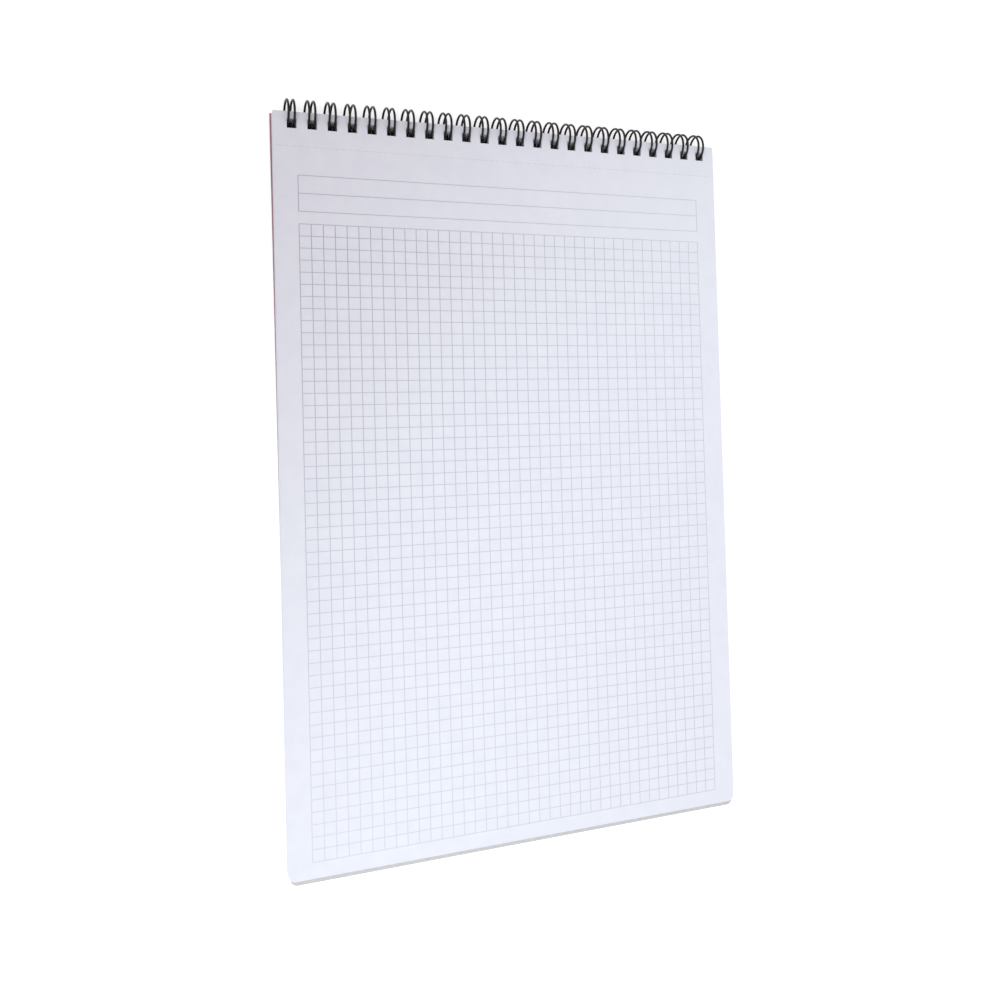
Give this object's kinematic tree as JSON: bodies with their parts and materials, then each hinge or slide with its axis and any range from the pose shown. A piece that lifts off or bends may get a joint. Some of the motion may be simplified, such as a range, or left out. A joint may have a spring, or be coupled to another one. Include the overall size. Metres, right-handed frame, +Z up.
{
  "type": "spiral notebook",
  "caption": "Large squared notebook with twin-loop wire along its head, folded open at a clean page, its front cover turned behind the back board.",
  "frame": {"origin": "under the middle of the pad, on the surface it lies on", "axes": "+X across the page, +Y up the page to the binding, +Z up out of the written page"},
  "size_m": [0.2108, 0.3234, 0.013],
  "materials": {
    "white_paper": "matt uncoated white paper",
    "ruling_ink": "pale grey printed line",
    "grey_board": "raw light grey board",
    "rose_card": "satin printed card",
    "black_wire": "black coated steel wire"
  },
  "bodies": {
    "pad": {"page_block": "white_paper", "page_ruling": "ruling_ink", "back_cover": "grey_board", "binding_wire": "black_wire"},
    "cover": {"front_cover": "rose_card"}
  },
  "joints": [
    {"name": "front_cover_swing", "type": "hinge", "parent": "pad", "child": "cover", "pos_m": [0, 0.15524, 0.0065], "axis": [1, 0, 0], "range_deg": [0, 200]}
  ]
}
